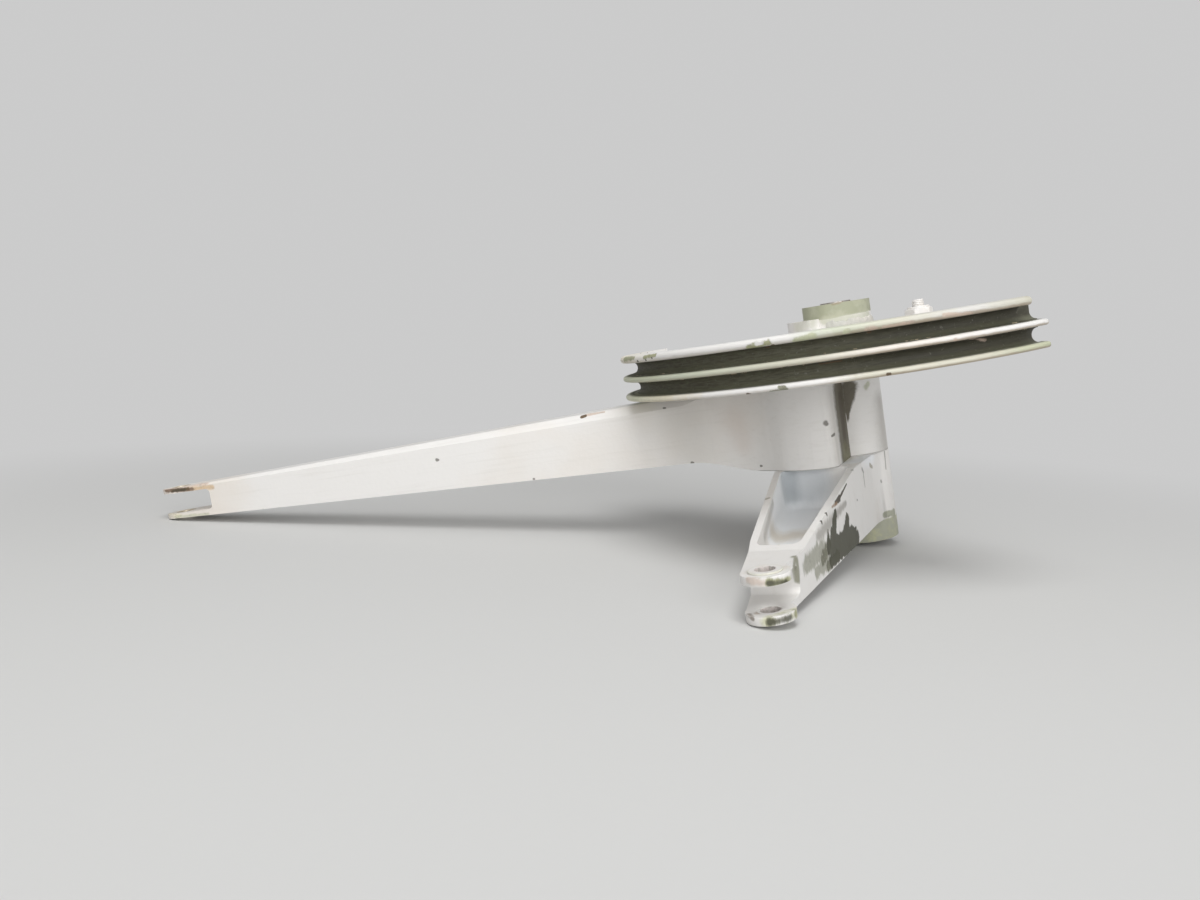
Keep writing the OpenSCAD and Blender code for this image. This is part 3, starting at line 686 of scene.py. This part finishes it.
# cable sector: dark olive grooves, flanges that run from cream and green to white
sectorSet = {
    "base": "white", "drift": 0.4, "driftScale": 0.03, "dust": 0.12, "rough": 0.34, "depth": 0.25,
    "brush": (0.12, 0.12, 0.5), "grain": (0.4, 0.4, 0.5),
    "edgeRadius": 0.8, "edgeNoise": (0.58, 0.66), "edgeFinish": "tan",
    "driftNoise": (0.16, 4.0, 0.6), "rimWall": (11.0, 10.0),  # depth of the wall behind the grooves
    "topBand": (14.9, 15.7), "lowBand": (3.4, 2.6),  # heights at which the outer flanges start
    "midHeight": 9.05, "midBand": (2.6, 1.8),  # middle flange, and how far from its middle it ends
    "run": 1.6, "middle": 0.625, "sway": 0.16,  # the colours' run along the rim, in radii
    "topStops": [(0.0, "cream"), (0.10, "white"), (0.42, "white"), (0.52, "flangeSage"),
                 (0.66, "flangeCream"), (0.82, "flangeWhite"), (0.98, "flangeCream")],
    "midStops": [(0.0, "sage"), (0.16, "flangeSage"), (0.45, "flangeCream"),
                 (0.66, "warmWhite"), (0.9, "white")],
    "lowStops": [(0.0, "sage"), (0.14, "cream"), (0.22, "white"), (0.50, "white"), (0.58, "flangeCream"),
                 (0.85, "flangeCream"), (1.0, "sage")],
    "dirtShadeShare": 0.75, "dirtShadeTilt": (-0.05, -0.6), "dirtShadeDrift": 0.9,  # dirt and painted shade on the lower half of a flange edge
    "dirtShadeEnds": (7.0, 2.5), "endDrift": 3, "dirtShadeFrom": (0.42, 0.66), "dirtShadeLeast": 0.35,
    "marks": [
        worn("chipOlive", [(749, 348, 768, 343, 1.4, 1.1), (624, 359, 634, 358, 1.2, 0.8),
                           (644, 357, 655, 355, 0.9, 0.8)],
             0.4, 1.2, relief=1.0, faded=True),
        worn("chipGrey", [(757, 394, 785, 389.5, 0.9, 1.0), (780, 388, 784, 387, 0.8, 0.6)],
             0.4, 1.2, relief=1.0, faded=True),
        worn("pinkTanAndReflection", [(884, 327, 913, 322, 0.7, 0.6), (944, 315, 972, 313, 0.7, 0.6),
                         (955, 340, 985, 340, 0.6, 0.6), (868, 330, 873, 329, 1.2, 1.2)],
             0.5, 1.0, relief=0.6, share=0.8, faded=True),
        worn("white", [(757, 344, 762, 343, 0.9, 0.7)], 0.4, 0.6),
        worn("bossLight", [(798, 328, 812, 322, 3.0, 3.0)], 0.8, 0.6, share=0.5, mottle=0.4),
        worn("sage", [(797, 341, 813, 336, 1.3, 1.1), (846, 332, 848, 331, 0.9, 0.8),
                      (823, 386, 842, 383, 0.8, 0.6)],
             0.4, 1.1, relief=0.8, faded=True),
        worn("olive", [(638, 361, 641, 353, 0.45, 0.35), (646, 360, 648, 353, 0.4, 0.3),
                       (652, 358, 654, 353, 0.35, 0.3)], 0.3, 0.5, relief=0.6),
        worn("brown", [(767, 347, 773, 345, 0.7, 0.6), (869, 332, 870, 331.5, 0.7, 0.6),
                       (820, 364, 841, 360.5, 0.5, 0.6), (777, 368, 787, 366.5, 0.5, 0.5),
                       (748.5, 395.5, 750, 395, 0.8, 0.7), (808, 388.5, 810, 388, 0.7, 0.6),
                       (822, 386, 842, 383, 0.5, 0.5), (880, 378.5, 883, 378, 0.7, 0.6),
                       (888, 374.5, 890, 374, 0.6, 0.5)], 0.3, 0.7, relief=0.8),
    ],
}
grooveSet = {
    "start": (1.6, 2.4), "drift": 1.8,  # depth under the rim edge at which the white stops
    "low": (1.9, 2.5), "high": (16.7, 15.9),  # heights between which the grooves lie
    "brush": (0.25, 0.25, 2.2), "streak": ((1.0, 3.0, 0.6), (0.35, 0.7), 0.8),
    "dust": ((0.7, 3.0, 0.6), (0.6, 0.75), 0.3),
    "deepFrom": (0.4, 0.75), "deepShare": 0.7,  # darker along the rim to the right
    "floorTilt": (0.2, 0.9), "floorShare": 0.5, "rough": 0.25, "deep": 0.4,
}


def grooveColour(place, along, tilt):
    # streaked dark olive, deeper to the right, paler on faces that look up, and dusty
    streak = place.scaled(grooveSet["brush"]).patches(*grooveSet["streak"])
    dusty = place.patches(*grooveSet["dust"])
    dark = streak.between(finishes["grooveOlive"], finishes["grooveDark"])
    deeper = along.step(*grooveSet["deepFrom"]) * grooveSet["deepShare"]
    dark = deeper.between(dark, finishes["grooveDeep"])
    level = tilt.step(*grooveSet["floorTilt"]) * grooveSet["floorShare"]
    dark = level.between(dark, finishes["grooveLight"])
    return dusty.between(dark, finishes["paleGreen"])


def sectorTints(place, facing, colour, rough, height):
    across, _, up = place.parts()
    depth = sectorRadius - place.scaled((1, 1, 0)).length()
    drift = place.wander(*sectorSet["driftNoise"])
    level = up - sectorLow
    tilt = facing.parts()[2]
    inRim = depth.step(*sectorSet["rimWall"])
    along = across / (sectorRadius * sectorSet["run"]) + sectorSet["middle"] + drift * sectorSet["sway"]
    bands = (("topStops", level.step(*sectorSet["topBand"])),
             ("midStops", abs(level - sectorSet["midHeight"]).step(*sectorSet["midBand"])),
             ("lowStops", level.step(*sectorSet["lowBand"])))
    for stops, band in bands:
        named = [(spot, finishes[finish]) for spot, finish in sectorSet[stops]]
        shade = along.node("ShaderNodeValToRGB", {"stops": named}, {0: along})
        colour = (band * inRim).between(colour, shade)
    # dirt and painted shade: tan on the downward faces of the flange edges, stronger to the right
    least = sectorSet["dirtShadeLeast"]
    dirtAndShade = (tilt + drift * sectorSet["dirtShadeDrift"]).step(*sectorSet["dirtShadeTilt"]) * sectorSet["dirtShadeShare"]
    dirtAndShade = dirtAndShade * inRim * (along.step(*sectorSet["dirtShadeFrom"]) * (1 - least) + least)
    dirtAndShade = dirtAndShade * (depth + drift * sectorSet["endDrift"]).step(*sectorSet["dirtShadeEnds"])
    colour = dirtAndShade.between(colour, finishes["edgeTanDirtShade"])
    between = level.step(*grooveSet["low"]) * level.step(*grooveSet["high"])
    groove = (depth + drift * grooveSet["drift"]).step(*grooveSet["start"]) * inRim * between
    colour = groove.between(colour, grooveColour(place, along, tilt))
    return colour, rough + groove * grooveSet["rough"], height - groove * grooveSet["deep"]


# plain metals: bearing steel, brass and bronze, each with turning marks and stains
metalSet = {
    "bearingSteel": {"colour": (168, 164, 158), "stain": (112, 84, 62), "share": 0.75, "rough": 0.34},
    "ballSteel": {"colour": (196, 196, 198), "stain": (150, 146, 138), "share": 0.2, "rough": 0.16},
    "cageBrass": {"colour": (176, 148, 92), "stain": (110, 88, 56), "share": 0.4, "rough": 0.36},
    "shieldSteel": {"colour": (140, 134, 126), "stain": (92, 76, 60), "share": 0.6, "rough": 0.44},
    "bushBronze": {"colour": (206, 196, 176), "stain": (150, 134, 112), "share": 0.5, "rough": 0.42},
    "platedSteel": {"colour": (176, 172, 156), "stain": (128, 116, 90), "share": 0.5, "rough": 0.38},
}


metalLook = {
    "metallic": 0.85, "blot": ((0.5, 4.0, 0.65), (0.45, 0.7)), "blotRough": 0.2,
    "turning": (0.4, 0.4, 6.0), "turnNoise": (1.0, 2.0, 0.5), "turnRough": 0.12, "depth": 0.05,
}


def stainedMetal(name):
    settings = metalSet[name]
    material, place = newMaterial(name)
    material.node_tree.nodes["Principled BSDF"].inputs["Metallic"].default_value = metalLook["metallic"]
    blot = place.patches(*metalLook["blot"])
    ends = photoColour(*settings["colour"]), photoColour(*settings["stain"])
    colour = (blot * settings["share"]).between(*ends)
    turning = place.scaled(metalLook["turning"]).noise(*metalLook["turnNoise"])
    rough = blot * metalLook["blotRough"] + turning * metalLook["turnRough"] + settings["rough"]
    finishSurface(material, colour, rough, turning, metalLook["depth"])
    return material


# clevis bushes: painted over with the ears, and worn bare round the hole
bushSet = {
    "base": "white", "drift": 0.5, "driftScale": 0.2, "dust": 0.2, "rough": 0.4, "depth": 0.15,
    "brush": (0.4, 0.4, 0.4), "raggedNoise": (0.6, 3.0, 0.6), "ragged": 1.2,
    "bare": (3.65, 3.15), "bareRough": 0.1,  # radii inside which the bronze shows
    "ring": (4.6, 5.7), "ringShare": 0.4,  # radii outside which the primer shows
    "bronze": ((0.7, 3.0, 0.6), (0.4, 0.7)),
}


def bushPaint():
    material, place = newMaterial("bushPaint")
    colour, height = whitePaint(place, bushSet)
    low, high = nodeBox("clevis_bushes")
    middle = tuple((low + high) / 2)
    ragged = place.wander(*bushSet["raggedNoise"]) * bushSet["ragged"]
    out = place.vector("SUBTRACT", place, middle).scaled((1, 1, 0)).length() + ragged
    primer = out.step(*bushSet["ring"]) * bushSet["ringShare"]
    bare = out.step(*bushSet["bare"])
    bronze = place.patches(*bushSet["bronze"]).between(finishes["bushTan"], finishes["metal"])
    colour = bare.between(primer.between(colour, finishes["sage"]), bronze)
    rough = bare * bushSet["bareRough"] + bushSet["rough"]
    finishSurface(material, colour, rough, height - bare, bushSet["depth"])
    return material


# small painted fasteners: white with a little grime round their edges
fastenerSet = {
    "base": "white", "drift": 0.4, "driftScale": 0.12, "dust": 0.25, "rough": 0.38, "depth": 0.2,
    "brush": (0.4, 0.4, 0.4), "grain": (0.4, 0.4, 0.4),
    "edgeRadius": 0.4, "edgeNoise": (0.56, 0.66), "edgeFinish": "metal", "marks": [],
}

sealantSet = dict(fastenerSet, base="sealant", edgeNoise=(0.7, 0.8))

paints = {
    "longArm": wornPaint("longArmPaint", "long_arm", longArmSet, longArmTints),
    "shortArm": wornPaint("shortArmPaint", "short_arm", shortArmSet, shortArmTints),
    "sector": wornPaint("sectorPaint", "cable_sector", sectorSet, sectorTints),
    "fastener": wornPaint("fastenerPaint", "anchor_nut", fastenerSet),
    "sealant": wornPaint("sealantPaint", "anchor_nut", sealantSet),
    "clevisBush": bushPaint(),
}
metals = {name: stainedMetal(name) for name in metalSet}
clothing = [
    (paints["longArm"], ["long_arm"]),
    (paints["shortArm"], ["short_arm"]),
    (paints["sector"], ["cable_sector"]),
    (paints["fastener"], ["anchor_nut", "anchor_bolt", "anchor_washers"]),
    (paints["clevisBush"], ["clevis_bushes"]),
    (metals["bearingSteel"], ["upper_outer_ring", "upper_inner_ring", "lower_outer_ring", "lower_inner_ring",
                              "pivot_spacer"]),
    (metals["ballSteel"], ["upper_balls", "lower_balls"]),
    (metals["cageBrass"], ["upper_cage", "lower_cage"]),
    (metals["shieldSteel"], ["upper_shields", "lower_shields"]),
    (metals["bushBronze"], ["fork_bushes"]),
    (metals["platedSteel"], ["joint_bolts", "joint_washers", "joint_nuts", "sector_screws"]),
]
for material, wearers in clothing:
    for wearer in wearers:
        shapes[wearer].data.materials.clear()
        shapes[wearer].data.materials.append(material)
print("finishes:", len(clothing), "materials")

# soft edges on the pieces that keep their solids, in millimetres
softSet = {"merge": 0.01, "segments": 2, "angle": 35}  # the angle is in degrees
edgeSet = {
    "long_arm": 0.5, "short_arm": 0.7, "cable_sector": 0.35, "clevis_bushes": 0.2, "fork_bushes": 0.2,
    "anchor_washers": 0.15, "joint_washers": 0.15, "upper_inner_ring": 0.2, "lower_inner_ring": 0.2,
    "upper_outer_ring": 0.2, "lower_outer_ring": 0.2,
}
for node, width in edgeSet.items():
    weld = shapes[node].modifiers.new("weld", "WELD")
    weld.merge_threshold = softSet["merge"] * mm
    bevel = shapes[node].modifiers.new("softEdge", "BEVEL")
    bevel.width = width * mm
    bevel.segments = softSet["segments"]
    bevel.limit_method = "ANGLE"
    bevel.angle_limit = math.radians(softSet["angle"])
    bevel.use_clamp_overlap = True
    bevel.harden_normals = True


def surfacePiece(name, grids, closed, material, slot, sharp=32):
    # a piece made of grids, which turns with the crank
    mesh = gridMesh(name, grids, closed)
    smoothMesh(mesh, sharp)
    mesh.materials.append(material)
    piece = addObject(name, mesh)
    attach(piece, "crank")
    return piece


def seats(node, count):
    # the middles of a node's separate solids round the pivot, split at the widest gaps between them
    spots = corners(node)[:, :2] / mm
    angle = np.arctan2(spots[:, 1], spots[:, 0]) % (2 * math.pi)
    order = np.argsort(angle)
    gaps = np.diff(angle[order])
    cuts = np.sort(np.argsort(gaps)[len(gaps) - count + 1:]) + 1
    groups = np.split(order, cuts)
    return [(spots[group].min(0) + spots[group].max(0)) / 2 for group in groups]


# hexagon bolts, lock nuts and flush screws, in millimetres
boltSet = {
    "around": 96, "flats": 9.5, "head": 3.2, "shank": 2.4, "tip": 0.55,
    "pitch": 0.794, "thread": 0.42, "run": 9.0, "rings": 10,  # thread, and its rings to a pitch
    "chamfer": 0.7, "cone": 30, "crown": 0.95, "flat": 0.5,  # the last two are shares of a radius
}
nutSet = {
    "high": 4.4, "collar": 4.2, "collarHigh": 0.7, "round": 0.5, "bend": 5,
    "foot": 0.94, "rim": 0.995, "rimHigh": (0.3, 0.35),  # chamfer at the foot, as shares and heights
}
screwSet = {
    "head": 4.5, "rim": 0.12, "tip": 1.8, "tipHigh": 0.6, "rings": 22, "inset": 0.15,
    "cross": 0.42, "reach": 2.2, "deep": 1.3, "soft": 0.12, "endSoft": 0.3,  # recess, and how its sides slope
}


def angles():
    return np.linspace(0, 2 * math.pi, boltSet["around"], endpoint=False)[None, :]


def hexagon(seat, foot):
    # depths under the top: the foot, then all, half, a quarter and none of the chamfer; with the radius there,
    # half the width over a cosine, cut by a cone whose circle at the top is a little inside the flats
    below = np.array([foot, *(boltSet["chamfer"] * np.array((1, 0.5, 0.25, 0)))])[:, None]
    half = boltSet["flats"] / 2
    corner = math.atan2(seat[1], seat[0])
    reach = half / np.cos((angles() - corner) % (math.pi / 3) - math.pi / 6)
    return below, np.minimum(reach, boltSet["crown"] * half + below / math.tan(math.radians(boltSet["cone"])))


def turnedGrid(radius, height, seat, way=1):
    # points of a ring profile: radius and height over profile step and angle, about a seat; upside down at -1
    angle = np.broadcast_to(angles(), radius.shape)
    height = np.broadcast_to(height, radius.shape)
    grid = np.stack([seat[0] + radius * np.cos(angle), seat[1] + radius * np.sin(angle), height], -1)
    return grid[:, ::way]


def boltGrid(seat, tip, end):
    # along the bolt from its tip: the shank less a triangle wave that climbs one pitch a turn, then the head
    way = 1 if end > tip else -1
    run, pitch, high = boltSet["run"], boltSet["pitch"], boltSet["head"]
    grip = abs(end - tip) - high
    rise = np.concatenate([np.arange(0, run, pitch / boltSet["rings"]), [run + 1, grip]])[:, None]
    wave = np.abs(2 * ((rise / pitch - angles() / (2 * math.pi)) % 1) - 1)
    fade = np.clip(run - rise, 0, 1)  # over the last millimetre
    shank = boltSet["shank"] - boltSet["thread"] * wave * fade
    shank = np.minimum(shank, boltSet["shank"] - boltSet["tip"] + rise)
    below, head = hexagon(seat, high)
    radius = np.concatenate([shank, head, boltSet["flat"] * head[-1:]])
    height = np.concatenate([rise, grip + high - below, [[grip + high]]])
    return turnedGrid(radius, tip + way * height, seat, way)


def nutGrid(seat, foot, way):
    # once round the section: hexagon up to its chamfer, locking collar with a round edge, and down the bore
    high, collar, edge = nutSet["high"], nutSet["collar"], nutSet["round"]
    shoulder = high - nutSet["collarHigh"]
    rimLow, rimTop = nutSet["rimHigh"]
    below, body = hexagon(seat, shoulder)
    bend = np.linspace(0, math.pi / 2, nutSet["bend"])[:, None]
    ring = np.ones_like(angles())
    start = nutSet["foot"] * boltSet["flats"] / 2 * ring
    rounded = (collar - edge * (1 - np.cos(bend))) * ring
    bore = boltSet["shank"] * ring
    radius = np.concatenate([start, body[:1] * nutSet["rim"], body, collar * ring, rounded, bore, bore])
    height = np.concatenate([[[0]], [[rimLow]], np.maximum(shoulder - below, rimTop), [[shoulder]],
                             high - edge * (1 - np.sin(bend)), [[high]], [[0]]])
    return turnedGrid(radius, foot + way * height, seat, way)


def screwGrid(seat, low, top):
    # shank, cone to a flush head, then a top that dips where a cross lies: two bars within its reach
    head, shank, soft = screwSet["head"], boltSet["shank"], screwSet["soft"]
    inward = np.linspace(head - screwSet["inset"], screwSet["inset"], screwSet["rings"])[:, None]
    x, y = np.abs(inward * np.cos(angles())), np.abs(inward * np.sin(angles()))
    bar = np.clip((screwSet["cross"] + soft - np.minimum(x, y)) / (2 * soft), 0, 1)
    within = np.clip((screwSet["reach"] - np.maximum(x, y)) / screwSet["endSoft"], 0, 1)
    ring = np.ones_like(angles())
    radii = (screwSet["tip"], shank, shank, head, head)
    heights = (low, low + screwSet["tipHigh"], top - (head - shank), top - screwSet["rim"], top)
    radius = np.concatenate([r * ring for r in radii] + [inward * ring])
    height = np.concatenate([h * ring for h in heights] + [top - screwSet["deep"] * bar * within])
    return turnedGrid(radius, height, seat)


def fitFasteners():
    painted = paints["fastener"], "painted_fastener"
    steel = metals["platedSteel"], "fastener_steel"
    seat = seats("anchor_bolt", 1)[0]
    low, high = nodeBox("anchor_bolt")
    anchorBolt = surfacePiece("anchorBolt", [boltGrid(seat, high.z, low.z)], False, *painted)
    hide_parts("anchor_bolt")
    foot = nodeBox("anchor_nut")[0].z
    anchorNut = surfacePiece("anchorNut", [nutGrid(seat, foot, 1)], True, *painted)
    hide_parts("anchor_nut")
    joints = seats("joint_bolts", 2)
    low, high = nodeBox("joint_bolts")
    grids = [boltGrid(seat, low.z, high.z) for seat in joints]
    jointBolts = surfacePiece("jointBolts", grids, False, *steel)
    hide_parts("joint_bolts")
    top = nodeBox("joint_nuts")[1].z
    grids = [nutGrid(seat, top, -1) for seat in joints]
    jointNuts = surfacePiece("jointNuts", grids, True, *steel)
    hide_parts("joint_nuts")
    low, high = nodeBox("sector_screws")
    grids = [screwGrid(seat, low.z, high.z) for seat in seats("sector_screws", 2)]
    screws = surfacePiece("sectorScrews", grids, False, *steel)
    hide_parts("sector_screws")


fitFasteners()
print("fasteners: bolts, nuts and screws")

# sealant: a brushed-on bead round the foot of the boss, from the pad's end round to its start
beadSet = {
    "from": 242.0, "to": 497.0, "steps": 260, "round": 20, "sharp": 60,  # degrees, points, and degrees
    "high": 4.4, "thick": 0.55, "off": 0.1, "sunk": 0.4, "lumps": 0.08,
    "swells": ((9, 1.0, 0), (23, 0.7, 1), (41, 0.5, 2)),  # waves a turn, size and phase
    "dabs": ((31, 2, 0.10), (53, -3, 0.07)),  # waves a turn, waves round the section, and size
}


def layBead():
    # an oval section carried round the boss; its size swells and shrinks as a sum of sines
    angle = np.radians(np.linspace(beadSet["from"], beadSet["to"], beadSet["steps"]))[:, None]
    bend = np.linspace(0, 2 * math.pi, beadSet["round"], endpoint=False)[None, :]
    swell = sum(size * np.sin(turns * angle + phase) for turns, size, phase in beadSet["swells"])
    swell = 1 + beadSet["lumps"] * swell
    dab = 1 + sum(size * np.sin(turns * angle + twist * bend) for turns, twist, size in beadSet["dabs"])
    out = hubRadius + beadSet["off"] + beadSet["thick"] * swell * dab * np.cos(bend)
    up = webTop - beadSet["sunk"] + beadSet["high"] * swell * (0.5 + 0.5 * np.sin(bend))
    grid = np.stack([out * np.cos(angle), out * np.sin(angle), up], -1)
    surfacePiece("bossSealant", [grid], False, paints["sealant"], "white_paint", sharp=beadSet["sharp"])


layBead()
print("sealant: bead round the boss")


def seenRays(start):
    # 1 for rays from the eye and for what it sees mirrored or through glass, 0 for bounced light
    kinds = ["Is Camera Ray", "Is Glossy Ray", "Is Transmission Ray"]
    eye, mirrored, through = (start.node("ShaderNodeLightPath", out=kind) for kind in kinds)
    return eye | mirrored | through


def layFloor():
    # a square sheet in the resting plane, which turns into the sky's own colour far from the middle
    side = floorUp.orthogonal().normalized()
    other = floorUp.cross(side)
    half = floorSet["half"]
    signs = ((-1, -1), (1, -1), (1, 1), (-1, 1))
    spots = [floorSpot + side * half * a + other * half * b for a, b in signs]
    mesh = bpy.data.meshes.new("floor")
    mesh.from_pydata([tuple(p) for p in spots], [], [(0, 1, 2, 3)])
    floor = addObject("floor", mesh)
    material, place = newMaterial("floorPaper")
    tree = material.node_tree
    shader = tree.nodes["Principled BSDF"]
    shader.inputs["Roughness"].default_value = floorSet["rough"]
    shader.inputs["Specular IOR Level"].default_value = floorSet["gloss"]
    seen = seenRays(place)
    grain = place.noise(*floorSet["grain"]) * floorSet["grainShare"]
    paper = grain.between(floorSet["seen"], floorSet["felt"])
    tree.links.new(seen.between(floorSet["felt"], paper).socket, shader.inputs["Base Color"])
    middle = tuple((cadLow + cadHigh) / 2 / mm)
    distant = place.vector("SUBTRACT", place, middle).length().step(*floorSet["fade"])
    glow = place.node("ShaderNodeEmission", None, {"Color": (*floorSet["sky"], 1)})
    paperShader = Wire(tree, shader.outputs[0])
    mixed = place.node("ShaderNodeMixShader", None, {0: distant * seen, 1: paperShader, 2: glow})
    tree.links.new(mixed.socket, tree.nodes["Material Output"].inputs["Surface"])
    mesh.materials.append(material)


layFloor()

# light: soft lamps high in front, overhead, low in front and at the right, and a soft sky
lightSet = {
    "key": {"from": (-0.10, -1.0, 1.15), "reach": 1.5, "size": 1.0, "watts": 4.6},
    "overhead": {"from": (0.05, -0.35, 1.0), "reach": 1.3, "size": 0.7, "watts": 6.6},
    "low": {"from": (-0.15, -1.0, 0.14), "reach": 1.5, "size": 0.9, "watts": 4.6},
    "right": {"from": (0.55, -0.9, 0.35), "reach": 1.5, "size": 0.8, "watts": 7.4},
}
skyLevel = 0.32


def hangLamp(name, settings):
    target = (cadLow + cadHigh) / 2
    turn = Vector((0, 0, 1)).rotation_difference(floorUp)
    place = target + (turn @ Vector(settings["from"]).normalized()) * settings["reach"]
    data = bpy.data.lights.new(name, "AREA")
    data.size = settings["size"]
    data.energy = settings["watts"]
    lamp = addObject(name, data)
    lamp.location = place
    lamp.rotation_mode = "QUATERNION"
    lamp.rotation_quaternion = (target - place).to_track_quat("-Z", "Y")


def lightSky():
    world = bpy.data.worlds.new("studioSky")
    world.use_nodes = True
    scene.world = world
    tree = world.node_tree
    sky = tree.nodes["Background"]
    sky.inputs["Color"].default_value = (*floorSet["sky"], 1)
    felt = skyLevel / floorSet["sky"][0]
    strength = seenRays(Wire(tree)) * (1.0 - felt) + felt
    tree.links.new(strength.socket, sky.inputs["Strength"])


for lampName, settings in lightSet.items():
    hangLamp(lampName + "Lamp", settings)
lightSky()
scene.view_settings.view_transform = "Standard"
print("stage: floor and lamps")
